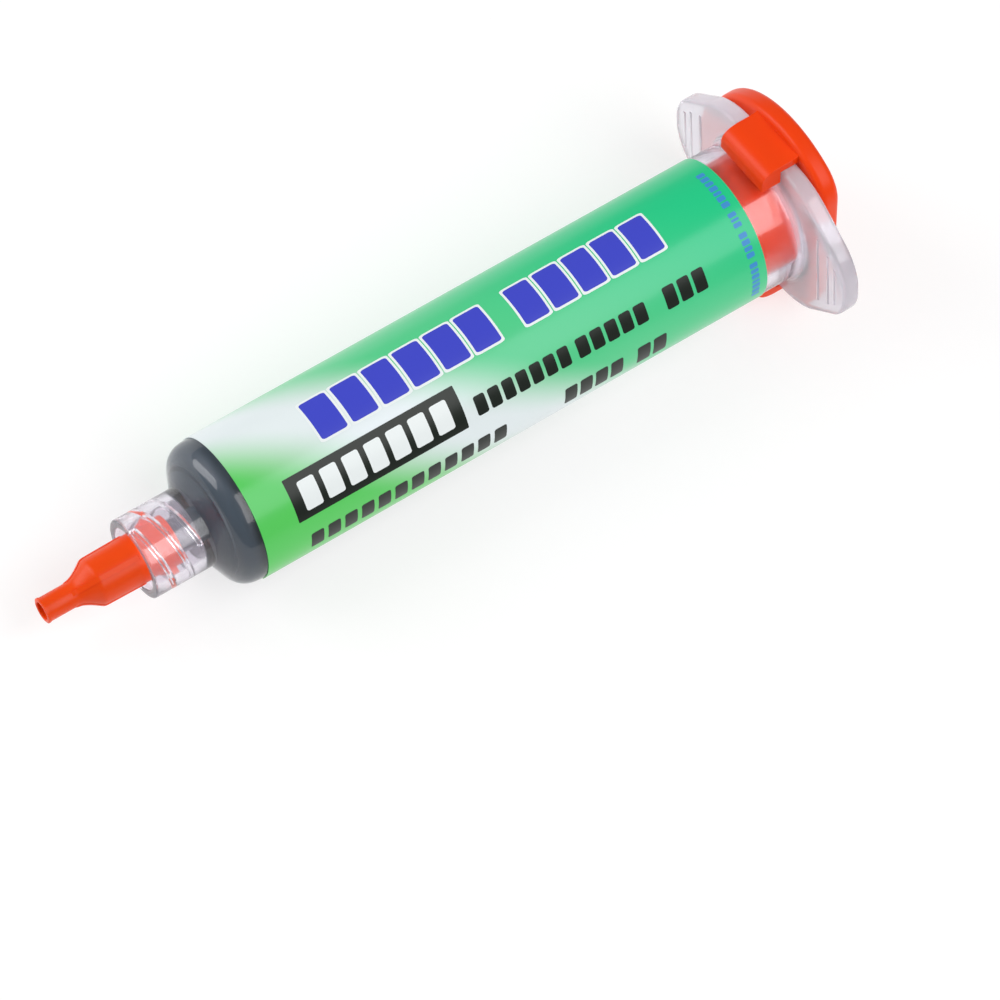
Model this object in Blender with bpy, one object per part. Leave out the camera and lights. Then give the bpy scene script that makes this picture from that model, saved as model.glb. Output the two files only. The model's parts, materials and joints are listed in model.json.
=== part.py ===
"""A capped dispensing syringe filled with solder paste, lying on its side.

Each piece is modelled about the syringe's own axis, X, which runs from the
luer tip to the end cap, with its zero at the front of the luer collar. The
axis empty then lays the whole syringe on the floor.
"""

import math

import bmesh
import bpy
from mathutils import Matrix, Vector

MM = 0.001

# Roundness, and the gaps between pieces
ROUND_STEPS = 64
CURVE_STEPS = 5
SLIDING_GAP = 0.10 * MM
SEAT_GAP = 0.15 * MM
FILM_GAP = 0.03 * MM
MERGE_DISTANCE = 0.0001 * MM

# Barrel
BORE_RADIUS = 7.95 * MM
WALL = 1.35 * MM
BARREL_LENGTH = 92.0 * MM
SHOULDER_CONE_LENGTH = 1.4 * MM
SHOULDER_CONE_RADIUS = 8.0 * MM
SHOULDER_ROUND_LENGTH = 2.7 * MM

# Luer lock end
COLLAR_RADIUS = 5.2 * MM
COLLAR_LENGTH = 8.3 * MM
COLLAR_BORE_RADIUS = 4.05 * MM
COLLAR_FLOOR = 0.9 * MM
COLLAR_CHAMFER = 0.25 * MM
LUER_REACH = 2.1 * MM
LUER_TIP_RADIUS = 2.0 * MM
LUER_TAPER = 0.03
CHANNEL_RADIUS = 1.4 * MM

# Finger flange
FLANGE_THICKNESS = 2.25 * MM
FLANGE_HALF_LENGTH = 17.5 * MM
FLANGE_HALF_WIDTH = 11.2 * MM
FLANGE_SHOULDER = 8.2 * MM
FLANGE_TIP_HALF_WIDTH = 3.85 * MM
FLANGE_CORNER_ROUND = 3.0 * MM
FLANGE_EDGE_ROUND = 0.4 * MM
FLANGE_FILLET = 1.2 * MM
GRIP_RIB_PLACES = (10.6 * MM, 14.4 * MM)
GRIP_RIB_HALF_LENGTHS = (7.6 * MM, 4.0 * MM)
GRIP_RIB_WIDTH = 0.6 * MM
GRIP_RIB_HEIGHT = 0.3 * MM

# Label: the angles are turned from the top towards the near side, -Y
LABEL_THICKNESS = 0.10 * MM
LABEL_FRONT_MARGIN = 0.3 * MM
LABEL_BACK_MARGIN = 5.55 * MM
LABEL_EDGE_ANGLE = math.radians(128.0)
LABEL_WINDOW_ANGLE = math.radians(49.0)

# Paste and piston
PASTE_FRONT_INSET = 0.6 * MM
PISTON_LENGTH = 12.0 * MM
PISTON_NOSE = 2.0 * MM
PISTON_LIP = 2.0 * MM
PISTON_WAIST_DEPTH = 0.5 * MM
PISTON_CHAMFER = 0.4 * MM
PISTON_CUP_RADIUS = 6.0 * MM
PISTON_FACE_THICKNESS = 2.0 * MM
AIR_SPACE = 9.8 * MM

# End cap
CAP_THICKNESS = 2.55 * MM
CAP_OVERHANG = 1.4 * MM
CAP_FLAT_DEPTH = 4.5 * MM
CAP_CORNER_ROUND = 2.6 * MM
CAP_EDGE_ROUND = 0.7 * MM
HOOK_WALL = 1.25 * MM
HOOK_HALF_WIDTH = 3.95 * MM
HOOK_LIP = 2.7 * MM
HOOK_NOSE_DROP = 0.95 * MM
HOOK_NOSE_SLANT = 1.0 * MM
HOOK_EDGE_ROUND = 0.45 * MM
PLUG_RADIUS = 7.7 * MM
PLUG_WALL = 1.2 * MM
PLUG_DEPTH = 8.7 * MM
PLUG_CHAMFER = 0.5 * MM

# Tip cap
TIP_LENGTH = 12.55 * MM
TIP_NOSE_RADIUS = 1.72 * MM
TIP_NOSE_LENGTH = 4.1 * MM
TIP_RIM = 0.08 * MM
TIP_FLARE_LENGTH = 3.2 * MM
TIP_BODY_FRONT_RADIUS = 3.05 * MM
TIP_BODY_BACK_RADIUS = 3.2 * MM
TIP_INSERTION = 6.0 * MM
TIP_HOLLOW_RADIUS = 1.15 * MM
TIP_HOLLOW_DEPTH = 2.6 * MM
TIP_SOCKET_SPARE = 1.2 * MM
TIP_RIB_HEIGHT = 0.22 * MM
TIP_RIB_HALF_WIDTH = 0.42 * MM
TIP_RIB_COUNT = 4
TIP_LUG_HALF_WIDTH = 1.3 * MM
TIP_LUG_LENGTH = 1.3 * MM
TIP_LUG_SETBACK = 1.2 * MM
TIP_TURN = math.radians(32.0)

# The turn about its own axis at which the lying syringe stays
RESTING_ROLL = math.radians(18.0)

# Sizes that follow from those above
BARREL_RADIUS = BORE_RADIUS + WALL
SHOULDER_END = COLLAR_LENGTH + SHOULDER_CONE_LENGTH + SHOULDER_ROUND_LENGTH
FLANGE_FRONT = BARREL_LENGTH - FLANGE_THICKNESS
COLLAR_POCKET_END = COLLAR_LENGTH - COLLAR_FLOOR
LABEL_START = SHOULDER_END + LABEL_FRONT_MARGIN
LABEL_END = FLANGE_FRONT - LABEL_BACK_MARGIN
LABEL_RADIUS = BARREL_RADIUS + FILM_GAP + LABEL_THICKNESS
PISTON_RADIUS = BORE_RADIUS - SLIDING_GAP
PISTON_START = BARREL_LENGTH - PLUG_DEPTH - AIR_SPACE - PISTON_LENGTH
PASTE_END = PISTON_START - FILM_GAP
HOOK_FRONT = FLANGE_FRONT - SEAT_GAP - HOOK_LIP
HOOK_INNER_REACH = FLANGE_HALF_WIDTH + SEAT_GAP
HOOK_CATCH_REACH = BARREL_RADIUS + 3 * SEAT_GAP
HOOK_REACH = HOOK_INNER_REACH + HOOK_WALL
CAP_RADIUS = HOOK_REACH + CAP_OVERHANG
CAP_FLAT_REACH = CAP_RADIUS - CAP_FLAT_DEPTH
TIP_LUG_RADIUS = COLLAR_BORE_RADIUS - SLIDING_GAP


def clear_scene():
    for thing in list(bpy.data.objects):
        bpy.data.objects.remove(thing, do_unlink=True)


def plastic(name, colour, roughness, alpha=1.0, transmission=0.0):
    """A Principled material, with the colour as linear red, green and blue."""
    material = bpy.data.materials.new(name)
    material.use_nodes = True
    shader = material.node_tree.nodes["Principled BSDF"]
    shader.inputs["Base Color"].default_value = (*colour, 1.0)
    shader.inputs["Roughness"].default_value = roughness
    shader.inputs["Metallic"].default_value = 0.0
    shader.inputs["Alpha"].default_value = alpha
    shader.inputs["Transmission Weight"].default_value = transmission
    material.diffuse_color = (*colour, alpha)
    return material


def rounding(start, corner, end):
    """Points along a smooth bend from start to end, pulled towards corner."""
    start, corner, end = Vector(start), Vector(corner), Vector(end)
    points = []
    for step in range(CURVE_STEPS + 1):
        share = step / CURVE_STEPS
        first = start.lerp(corner, share)
        second = corner.lerp(end, share)
        points.append(tuple(first.lerp(second, share)))
    return points


def turned(profile, closed=False):
    """A body turned about X from (x, radius) points.

    An open profile starts and ends on the axis, a closed one goes round a ring.
    """
    body = bmesh.new()
    verts = [body.verts.new((x, 0.0, radius)) for x, radius in profile]
    edges = [body.edges.new(pair) for pair in zip(verts, verts[1:])]
    if closed:
        edges.append(body.edges.new((verts[-1], verts[0])))
    bmesh.ops.spin(
        body,
        geom=verts + edges,
        axis=(1.0, 0.0, 0.0),
        cent=(0.0, 0.0, 0.0),
        angle=math.tau,
        steps=ROUND_STEPS,
    )
    bmesh.ops.remove_doubles(body, verts=body.verts, dist=MERGE_DISTANCE)
    bmesh.ops.recalc_face_normals(body, faces=body.faces)
    return body


def extruded(outline, sweep):
    """A solid made by sweeping a flat outline of 3-D points along a vector."""
    body = bmesh.new()
    face = body.faces.new([body.verts.new(point) for point in outline])
    grown = bmesh.ops.extrude_face_region(body, geom=[face])
    moved = [item for item in grown["geom"] if isinstance(item, bmesh.types.BMVert)]
    bmesh.ops.translate(body, verts=moved, vec=sweep)
    bmesh.ops.recalc_face_normals(body, faces=body.faces)
    return body


def round_edges(body, edges, radius, segments=3):
    bmesh.ops.bevel(
        body,
        geom=edges,
        offset=radius,
        segments=segments,
        profile=0.5,
        affect="EDGES",
        clamp_overlap=True,
    )


def edges_along(body, direction):
    """The straight edges that run along a direction."""
    found = []
    for edge in body.edges:
        run = (edge.verts[1].co - edge.verts[0].co).normalized()
        if abs(run.dot(Vector(direction))) > 0.999:
            found.append(edge)
    return found


def join(bodies):
    """One bmesh that holds all the given ones, for a set of separate lumps."""
    whole = bmesh.new()
    for body in bodies:
        mesh = bpy.data.meshes.new("lump")
        body.to_mesh(mesh)
        body.free()
        whole.from_mesh(mesh)
        bpy.data.meshes.remove(mesh)
    return whole


def add_object(name, body, material=None, parent=None, place=(0.0, 0.0, 0.0)):
    """Makes the bmesh an object whose origin lies on the syringe's axis."""
    mesh = bpy.data.meshes.new(name)
    body.to_mesh(mesh)
    body.free()
    thing = bpy.data.objects.new(name, mesh)
    bpy.context.collection.objects.link(thing)
    thing.parent = parent
    thing.location = place
    if material is not None:
        mesh.materials.append(material)
    return thing


def shade(thing):
    """Smooth shading that keeps the corners sharp."""
    thing.data.shade_smooth()
    thing.data.set_sharp_from_angle(angle=math.radians(32.0))


def combine(thing, other, operation):
    """Adds or cuts away a second body, which stays hidden."""
    modifier = thing.modifiers.new(other.name, "BOOLEAN")
    modifier.operation = operation
    modifier.object = other
    modifier.solver = "EXACT"
    other.hide_render = True
    other.display_type = "WIRE"


def luer_radius(x, gap=0.0):
    """The male luer cone's radius at x, with a gap round it if wanted."""
    return LUER_TIP_RADIUS + LUER_TAPER * (x + LUER_REACH) + gap


def shoulder_points(inset):
    """The shoulder's bend, inset from the outside, up to the barrel's side."""
    slope = (SHOULDER_CONE_RADIUS - COLLAR_RADIUS) / SHOULDER_CONE_LENGTH
    angle = math.atan(slope)
    back = inset * math.sin(angle)
    down = inset * math.cos(angle)
    side = BARREL_RADIUS - inset
    cone_start = (COLLAR_LENGTH + back, COLLAR_RADIUS - down)
    cone_end_radius = SHOULDER_CONE_RADIUS - inset
    cone_end_x = cone_start[0] + (cone_end_radius - cone_start[1]) / slope
    corner_x = cone_start[0] + (side - cone_start[1]) / slope
    bend = rounding((cone_end_x, cone_end_radius), (corner_x, side), (SHOULDER_END, side))
    return [cone_start] + bend


def barrel_outside():
    """The outside of the barrel as one turned body, before it is hollowed."""
    base_radius = luer_radius(COLLAR_POCKET_END)
    profile = [
        (-LUER_REACH, 0.0),
        (-LUER_REACH, LUER_TIP_RADIUS),
        (COLLAR_POCKET_END, base_radius),
        (COLLAR_POCKET_END, COLLAR_BORE_RADIUS),
        (0.0, COLLAR_BORE_RADIUS),
        (0.0, COLLAR_RADIUS - COLLAR_CHAMFER),
        (COLLAR_CHAMFER, COLLAR_RADIUS),
    ]
    profile += shoulder_points(0.0)
    fillet_radius = BARREL_RADIUS + FLANGE_FILLET
    profile += rounding(
        (FLANGE_FRONT - FLANGE_FILLET, BARREL_RADIUS),
        (FLANGE_FRONT, BARREL_RADIUS),
        (FLANGE_FRONT, fillet_radius),
    )
    flange_middle = FLANGE_FRONT + FLANGE_THICKNESS / 2
    profile += [(flange_middle, fillet_radius), (flange_middle, 0.0)]
    return turned(profile)


def bore_profile(front, back, gap):
    """The hollow of the barrel from x = front to back, shrunk by a gap."""
    shoulder = shoulder_points(WALL + gap)
    mouth_x = COLLAR_LENGTH + WALL / 2 + gap
    channel = CHANNEL_RADIUS - gap
    profile = [(front, 0.0), (front, channel), (mouth_x, channel)]
    profile += shoulder
    profile += [(back, BORE_RADIUS - gap)]
    return profile


def flange_plate():
    """The six-sided finger flange with its rounded wing tips."""
    corners = [
        (FLANGE_HALF_LENGTH, FLANGE_TIP_HALF_WIDTH),
        (FLANGE_SHOULDER, FLANGE_HALF_WIDTH),
        (-FLANGE_SHOULDER, FLANGE_HALF_WIDTH),
        (-FLANGE_HALF_LENGTH, FLANGE_TIP_HALF_WIDTH),
        (-FLANGE_HALF_LENGTH, -FLANGE_TIP_HALF_WIDTH),
        (-FLANGE_SHOULDER, -FLANGE_HALF_WIDTH),
        (FLANGE_SHOULDER, -FLANGE_HALF_WIDTH),
        (FLANGE_HALF_LENGTH, -FLANGE_TIP_HALF_WIDTH),
    ]
    outline = [(FLANGE_FRONT, y, z) for y, z in corners]
    plate = extruded(outline, (FLANGE_THICKNESS, 0.0, 0.0))
    round_edges(plate, edges_along(plate, (1.0, 0.0, 0.0)), FLANGE_CORNER_ROUND, 6)
    rims = [edge for edge in plate.edges if abs(edge.calc_face_angle() - math.pi / 2) < 0.01]
    round_edges(plate, rims, FLANGE_EDGE_ROUND, 2)
    return plate


def grip_ribs():
    """Two fine ribs across the front of each wing."""
    ribs = []
    for side in (-1.0, 1.0):
        for place, half_length in zip(GRIP_RIB_PLACES, GRIP_RIB_HALF_LENGTHS):
            low = side * place - GRIP_RIB_WIDTH / 2
            high = side * place + GRIP_RIB_WIDTH / 2
            front = FLANGE_FRONT - GRIP_RIB_HEIGHT
            root = FLANGE_FRONT + GRIP_RIB_HEIGHT
            outline = [
                (root, low, -half_length),
                (front, side * place, -half_length),
                (root, high, -half_length),
            ]
            ribs.append(extruded(outline, (0.0, 0.0, 2 * half_length)))
    return join(ribs)


def make_barrel(axis):
    clear = plastic("clear_polypropylene", (0.78, 0.77, 0.82), 0.16, 0.35, 0.9)
    barrel = add_object("barrel", barrel_outside(), clear, axis)
    shade(barrel)
    plate = add_object("flange_plate", flange_plate(), clear, axis)
    ribs = add_object("flange_grip_ribs", grip_ribs(), clear, axis)
    past = WALL
    profile = bore_profile(-LUER_REACH - past, BARREL_LENGTH + past, 0.0)
    profile.append((BARREL_LENGTH + past, 0.0))
    hollow = add_object("bore_cutter", turned(profile), None, axis)
    shade(hollow)
    combine(barrel, plate, "UNION")
    combine(barrel, ribs, "UNION")
    combine(barrel, hollow, "DIFFERENCE")


def make_label(axis):
    """A printed film round the barrel that leaves a clear strip underneath."""
    printed = plastic("printed_label", (0.11, 0.62, 0.20), 0.35)
    inner = BARREL_RADIUS + FILM_GAP
    film = bmesh.new()
    corners = [
        (LABEL_START, inner),
        (LABEL_START, LABEL_RADIUS),
        (LABEL_END, LABEL_RADIUS),
        (LABEL_END, inner),
    ]
    turn = Matrix.Rotation(LABEL_EDGE_ANGLE, 3, "X")
    verts = [film.verts.new(turn @ Vector((x, 0.0, radius))) for x, radius in corners]
    edges = [film.edges.new((verts[i], verts[(i + 1) % 4])) for i in range(4)]
    sweep = math.tau - LABEL_WINDOW_ANGLE
    steps = round(ROUND_STEPS * sweep / math.tau)
    bmesh.ops.spin(
        film,
        geom=verts + edges,
        axis=(-1.0, 0.0, 0.0),
        cent=(0.0, 0.0, 0.0),
        angle=sweep,
        steps=steps,
    )
    bmesh.ops.holes_fill(film, edges=film.edges, sides=4)
    bmesh.ops.recalc_face_normals(film, faces=film.faces)
    shade(add_object("label", film, printed, axis))


def make_paste(axis):
    """The paste fills the barrel from the luer tip to the piston."""
    grey = plastic("solder_paste", (0.085, 0.10, 0.125), 0.45)
    front = -LUER_REACH + PASTE_FRONT_INSET
    profile = bore_profile(front, PASTE_END, FILM_GAP)
    profile += [
        (PASTE_END, PISTON_RADIUS - PISTON_CHAMFER),
        (PASTE_END - PISTON_NOSE, 0.0),
    ]
    shade(add_object("solder_paste", turned(profile), grey, axis))


def make_piston(axis):
    """A wiper piston: cone nose, two sealing lips and an open cup behind."""
    white = plastic("piston_polyethylene", (0.80, 0.80, 0.76), 0.4)
    waist = PISTON_RADIUS - PISTON_WAIST_DEPTH
    rim = PISTON_RADIUS - PISTON_CHAMFER
    profile = [
        (-PISTON_NOSE, 0.0),
        (0.0, rim),
        (PISTON_CHAMFER, PISTON_RADIUS),
        (PISTON_LIP, PISTON_RADIUS),
        (PISTON_LIP + PISTON_WAIST_DEPTH, waist),
        (PISTON_LENGTH - PISTON_LIP - PISTON_WAIST_DEPTH, waist),
        (PISTON_LENGTH - PISTON_LIP, PISTON_RADIUS),
        (PISTON_LENGTH - PISTON_CHAMFER, PISTON_RADIUS),
        (PISTON_LENGTH, rim),
        (PISTON_LENGTH, PISTON_CUP_RADIUS),
        (PISTON_FACE_THICKNESS, PISTON_CUP_RADIUS - PISTON_CHAMFER),
        (PISTON_FACE_THICKNESS - PISTON_NOSE / 2, 0.0),
    ]
    place = (PISTON_START, 0.0, 0.0)
    shade(add_object("piston", turned(profile), white, axis, place))


def cap_corner(side):
    """The soft corner between the disc's round edge and its straight one."""
    angle = math.acos(CAP_FLAT_REACH / CAP_RADIUS)
    half_flat = CAP_RADIUS * math.sin(angle)
    spared = angle + CAP_CORNER_ROUND / CAP_RADIUS
    flat_end = (-CAP_FLAT_REACH, side * (half_flat - CAP_CORNER_ROUND))
    corner = (-CAP_FLAT_REACH, side * half_flat)
    round_end = (-CAP_RADIUS * math.cos(spared), side * CAP_RADIUS * math.sin(spared))
    return rounding(flat_end, corner, round_end)


def cap_disc():
    """The end cap's round plate, cut off straight on its near side."""
    spared = math.acos(CAP_FLAT_REACH / CAP_RADIUS) + CAP_CORNER_ROUND / CAP_RADIUS
    swept = math.tau - 2 * spared
    steps = round(ROUND_STEPS * swept / math.tau)
    places = cap_corner(1.0)
    for step in range(1, steps):
        turn = spared + swept * step / steps
        places.append((-CAP_RADIUS * math.cos(turn), CAP_RADIUS * math.sin(turn)))
    places += reversed(cap_corner(-1.0))
    disc = extruded([(SEAT_GAP, y, z) for y, z in places], (CAP_THICKNESS, 0.0, 0.0))
    rims = [edge for edge in disc.edges if edge.calc_face_angle() > 1.5]
    round_edges(disc, rims, CAP_EDGE_ROUND, 3)
    return disc


def cap_hooks():
    """Two catches that reach over the flange's straight sides."""
    root = SEAT_GAP + CAP_THICKNESS / 2
    front = HOOK_FRONT - BARREL_LENGTH
    catch = -FLANGE_THICKNESS - SEAT_GAP
    ridge = front + HOOK_NOSE_SLANT
    hooks = []
    for side in (-1.0, 1.0):
        points = [
            (root, HOOK_INNER_REACH),
            (catch, HOOK_INNER_REACH),
            (catch, HOOK_CATCH_REACH),
            (front, HOOK_CATCH_REACH),
            (ridge, HOOK_REACH - HOOK_NOSE_DROP),
            (catch, HOOK_REACH),
            (root, HOOK_REACH),
        ]
        outline = [(x, -HOOK_HALF_WIDTH, side * reach) for x, reach in points]
        hook = extruded(outline, (0.0, 2 * HOOK_HALF_WIDTH, 0.0))
        outer = []
        for edge in hook.edges:
            least_reach = min(abs(vert.co.z) for vert in edge.verts)
            least_x = min(vert.co.x for vert in edge.verts)
            if least_reach > HOOK_INNER_REACH + SEAT_GAP / 2 and least_x < root - SEAT_GAP:
                outer.append(edge)
        round_edges(hook, outer, HOOK_EDGE_ROUND, 2)
        hooks.append(hook)
    return join(hooks)


def cap_plug():
    """The hollow skirt that closes the bore."""
    root = SEAT_GAP + CAP_THICKNESS / 2
    inner = PLUG_RADIUS - PLUG_WALL
    profile = [
        (root, inner),
        (-PLUG_DEPTH, inner),
        (-PLUG_DEPTH, PLUG_RADIUS - PLUG_CHAMFER),
        (-PLUG_DEPTH + PLUG_CHAMFER, PLUG_RADIUS),
        (root, PLUG_RADIUS),
    ]
    return turned(profile, closed=True)


def make_end_cap(axis):
    orange = plastic("orange_cap_plastic", (0.87, 0.07, 0.006), 0.32)
    place = (BARREL_LENGTH, 0.0, 0.0)
    cap = add_object("end_cap", cap_disc(), orange, axis, place)
    hooks = add_object("cap_hooks", cap_hooks(), orange, axis, place)
    plug = add_object("cap_plug", cap_plug(), orange, axis, place)
    shade(hooks)
    shade(plug)
    shade(cap)
    combine(cap, hooks, "UNION")
    combine(cap, plug, "UNION")


def tip_outline():
    """The tip cap's outside, from its hollow nose back to its socket end."""
    nose = -TIP_LENGTH
    flare = nose + TIP_NOSE_LENGTH
    body = flare + TIP_FLARE_LENGTH
    middle = (flare + body) / 2
    middle_radius = (TIP_NOSE_RADIUS + TIP_BODY_FRONT_RADIUS) / 2
    points = [
        (nose, TIP_NOSE_RADIUS),
        (nose + TIP_RIM, TIP_NOSE_RADIUS + TIP_RIM),
        (nose + 4 * TIP_RIM, TIP_NOSE_RADIUS + TIP_RIM),
        (nose + 6 * TIP_RIM, TIP_NOSE_RADIUS),
    ]
    lower = rounding((flare, TIP_NOSE_RADIUS), (flare + TIP_FLARE_LENGTH / 3, TIP_NOSE_RADIUS),
                     (middle, middle_radius))
    upper = rounding((middle, middle_radius), (body - TIP_FLARE_LENGTH / 4, TIP_BODY_FRONT_RADIUS),
                     (body, TIP_BODY_FRONT_RADIUS))
    points += lower + upper[1:]
    points.append((TIP_INSERTION, TIP_BODY_BACK_RADIUS))
    return points


def tip_body():
    """The tip cap's turned body, with a hollow nose and a luer socket."""
    nose = -TIP_LENGTH
    socket_end = -LUER_REACH - TIP_SOCKET_SPARE
    profile = [
        (nose + TIP_HOLLOW_DEPTH, 0.0),
        (nose + TIP_HOLLOW_DEPTH, TIP_HOLLOW_RADIUS),
        (nose, TIP_HOLLOW_RADIUS),
    ]
    profile += tip_outline()
    profile += [
        (TIP_INSERTION, luer_radius(TIP_INSERTION, SLIDING_GAP)),
        (socket_end, luer_radius(socket_end, SLIDING_GAP)),
        (socket_end, 0.0),
    ]
    return turned(profile)


def tip_ribs_and_lugs():
    """Fine ribs down the flare, and the two lugs that catch the thread."""
    start = -TIP_LENGTH + TIP_NOSE_LENGTH
    over = [(x, radius + TIP_RIB_HEIGHT) for x, radius in tip_outline() if start <= x <= 0.0]
    over = [(start - TIP_RIB_HEIGHT, TIP_NOSE_RADIUS)] + over
    end_radius = over[-1][1] + (TIP_BODY_BACK_RADIUS - TIP_BODY_FRONT_RADIUS) / 2
    over += [(-TIP_RIB_HEIGHT, end_radius), (0.0, end_radius - TIP_RIB_HEIGHT)]
    root = TIP_HOLLOW_RADIUS + TIP_RIB_HEIGHT
    under = [(0.0, TIP_BODY_FRONT_RADIUS - TIP_RIB_HEIGHT)]
    under += [(over[1][0] + TIP_FLARE_LENGTH, TIP_BODY_FRONT_RADIUS - TIP_RIB_HEIGHT)]
    under += [(over[0][0], root)]
    lumps = []
    for index in range(TIP_RIB_COUNT):
        outline = [(x, -TIP_RIB_HALF_WIDTH, reach) for x, reach in over + under]
        rib = extruded(outline, (0.0, 2 * TIP_RIB_HALF_WIDTH, 0.0))
        turn = Matrix.Rotation(TIP_TURN + index * math.tau / TIP_RIB_COUNT, 3, "X")
        bmesh.ops.rotate(rib, verts=rib.verts, cent=(0.0, 0.0, 0.0), matrix=turn)
        lumps.append(rib)
    back = TIP_INSERTION - TIP_LUG_SETBACK
    front = back - TIP_LUG_LENGTH
    inner = (TIP_BODY_BACK_RADIUS + luer_radius(TIP_INSERTION)) / 2
    reach = math.sqrt(TIP_LUG_RADIUS**2 - TIP_LUG_HALF_WIDTH**2)
    for index in range(2):
        outline = [
            (front, -TIP_LUG_HALF_WIDTH, inner),
            (front, -TIP_LUG_HALF_WIDTH, reach - TIP_LUG_LENGTH / 4),
            (front + TIP_LUG_LENGTH / 4, -TIP_LUG_HALF_WIDTH, reach),
            (back, -TIP_LUG_HALF_WIDTH, reach),
            (back, -TIP_LUG_HALF_WIDTH, inner),
        ]
        lug = extruded(outline, (0.0, 2 * TIP_LUG_HALF_WIDTH, 0.0))
        turn = Matrix.Rotation(TIP_TURN + math.pi / 2 + index * math.pi, 3, "X")
        bmesh.ops.rotate(lug, verts=lug.verts, cent=(0.0, 0.0, 0.0), matrix=turn)
        lumps.append(lug)
    return join(lumps)


def make_tip_cap(axis):
    orange = plastic("orange_tip_plastic", (0.80, 0.09, 0.012), 0.26)
    tip = add_object("tip_cap", tip_body(), orange, axis)
    details = add_object("tip_ribs_and_lugs", tip_ribs_and_lugs(), orange, axis)
    shade(tip)
    combine(tip, details, "UNION")


def shown_points(thing):
    """The world places of an object's corners with its modifiers applied."""
    graph = bpy.context.evaluated_depsgraph_get()
    shown = thing.evaluated_get(graph)
    return [shown.matrix_world @ vert.co for vert in shown.data.vertices]


def lay_down(axis):
    """Lays the syringe on the floor, centred over the origin.

    It rests on the label's front edge and on the end cap's round rim.
    """
    rim_x = BARREL_LENGTH + SEAT_GAP + CAP_EDGE_ROUND
    tilt = math.atan2(CAP_RADIUS - LABEL_RADIUS, rim_x - LABEL_START)
    axis.rotation_euler = (-RESTING_ROLL, -tilt, 0.0)
    bpy.context.view_layer.update()
    points = []
    for thing in bpy.context.scene.objects:
        if thing.type == "MESH" and not thing.hide_render:
            points += shown_points(thing)
    middle_x = (min(point.x for point in points) + max(point.x for point in points)) / 2
    middle_y = (min(point.y for point in points) + max(point.y for point in points)) / 2
    axis.location = (-middle_x, -middle_y, -min(point.z for point in points))


def main():
    clear_scene()
    axis = bpy.data.objects.new("syringe_axis", None)
    bpy.context.collection.objects.link(axis)
    make_barrel(axis)
    make_label(axis)
    make_paste(axis)
    make_piston(axis)
    make_end_cap(axis)
    make_tip_cap(axis)
    lay_down(axis)


main()
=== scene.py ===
"""Dresses a capped dispensing syringe of solder paste and sets its stage.

Sizes are along and about the syringe's own axis, X, which runs from the luer
tip to the end cap, with its zero at the front of the luer collar. One matrix
then lays every piece on the floor as the frame has it.
"""

import json
import math

import bmesh
import bpy
from mathutils import Matrix, Vector


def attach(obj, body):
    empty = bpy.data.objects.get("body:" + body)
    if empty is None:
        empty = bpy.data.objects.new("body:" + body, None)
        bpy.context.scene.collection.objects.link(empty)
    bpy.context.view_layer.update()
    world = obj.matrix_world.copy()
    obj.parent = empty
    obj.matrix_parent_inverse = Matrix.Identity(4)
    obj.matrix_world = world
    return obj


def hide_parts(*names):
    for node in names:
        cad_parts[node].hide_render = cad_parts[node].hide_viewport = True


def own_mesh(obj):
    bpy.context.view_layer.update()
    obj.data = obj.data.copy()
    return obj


bl_info = {
    "name": "Solder Paste Syringe",
    "version": (1, 0, 0),
    "blender": (4, 5, 0),
    "location": "View3D > Sidebar > Syringe",
    "description": "Clear filled syringe with a printed label and orange caps",
    "category": "Object",
}

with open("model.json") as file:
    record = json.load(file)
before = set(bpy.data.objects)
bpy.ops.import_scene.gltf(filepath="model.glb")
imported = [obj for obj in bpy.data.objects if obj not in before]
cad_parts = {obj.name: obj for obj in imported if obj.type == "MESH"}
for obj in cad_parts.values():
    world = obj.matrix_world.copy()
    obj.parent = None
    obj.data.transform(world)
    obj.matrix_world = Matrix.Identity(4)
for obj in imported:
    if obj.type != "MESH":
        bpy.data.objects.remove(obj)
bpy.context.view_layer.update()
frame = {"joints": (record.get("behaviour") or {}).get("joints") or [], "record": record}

MM = 0.001
ROUND_STEPS = 160
CURVE_STEPS = 10
MERGE_DISTANCE = 0.0001 * MM
LABEL_GAP = 0.03 * MM
CAP_GAP = 0.15 * MM
TIP_GAP = 0.1 * MM

# Degrees: the near side and the label's near edge from the top, the clear strip that
# the label leaves, the end cap's turn on the flange, and the least crease kept sharp
NEAR_ANGLE = 32.8
LABEL_EDGE = 128.0
LABEL_WINDOW = 49.0
CAP_TURN = 3.0
LEAST_CREASE = 30.0

# Radians: edges that turn by more than this are square corners
SQUARE_EDGE = 1.4

# How far ink stands off the label, and ink on ink, in millimetres
INK_LIFT = 0.010
TOP_INK_LIFT = 0.018


def mount_place(name):
    """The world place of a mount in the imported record."""
    for mount in frame["record"]["mounts"]:
        if mount["name"] == name:
            return Vector(mount["pos_m"])
    raise ValueError("no mount " + name)


def lay_matrix():
    """Turns the syringe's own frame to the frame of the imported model."""
    joint = next(j for j in frame["joints"] if j["name"] == "end_cap_pull")
    along = Vector(joint["axis"]).normalized()
    collar = mount_place("luer_collar_front")
    origin = Vector((collar.x, 0.0, collar.z))
    wing = mount_place("flange_front_wing") - origin
    side = (along * wing.dot(along) - wing).normalized()
    turn = Matrix((along, side, along.cross(side))).transposed()
    return Matrix.Translation(origin) @ turn.to_4x4()


LAY = lay_matrix()
AXIS = LAY.to_3x3() @ Vector((1.0, 0.0, 0.0))
COLLAR_FRONT = LAY.translation.copy()


def length(name, note, millimetres):
    """A size that a user may change, kept in metres."""
    return bpy.props.FloatProperty(
        name=name, description=note, default=millimetres * MM, min=0.0, unit="LENGTH", precision=5
    )


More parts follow.
